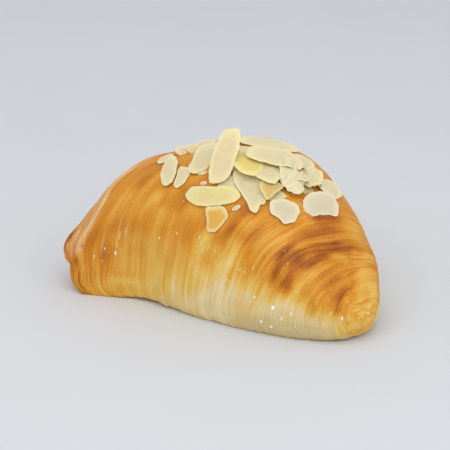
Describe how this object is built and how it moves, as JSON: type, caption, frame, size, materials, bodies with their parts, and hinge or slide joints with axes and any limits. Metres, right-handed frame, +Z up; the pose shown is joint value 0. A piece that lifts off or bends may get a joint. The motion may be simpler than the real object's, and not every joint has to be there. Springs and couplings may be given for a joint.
{
  "type": "sfogliatella",
  "caption": "Shell-shaped layered pastry on its flat underside, ringed with thin crisp leaves from nose to mouth and topped with sliced almonds.",
  "frame": {"origin": "middle of the resting plane under the whole pastry", "axes": "+X along the length toward the pointed nose, +Y across, +Z up toward the crown"},
  "size_m": [0.1216, 0.109, 0.0678],
  "materials": {
    "crust": "golden brown glazed baked leaves",
    "almond": "pale cream sliced almond, satin"
  },
  "bodies": {
    "root": {"pastry": "crust", "almond_slice_01": "almond", "almond_slice_02": "almond", "almond_slice_03": "almond", "almond_slice_04": "almond", "almond_slice_05": "almond", "almond_slice_06": "almond", "almond_slice_07": "almond", "almond_slice_08": "almond", "almond_slice_09": "almond", "almond_slice_10": "almond", "almond_slice_11": "almond", "almond_slice_12": "almond", "almond_slice_13": "almond", "almond_slice_14": "almond", "almond_slice_15": "almond", "almond_slice_16": "almond", "almond_slice_17": "almond", "almond_slice_18": "almond"}
  },
  "joints": []
}
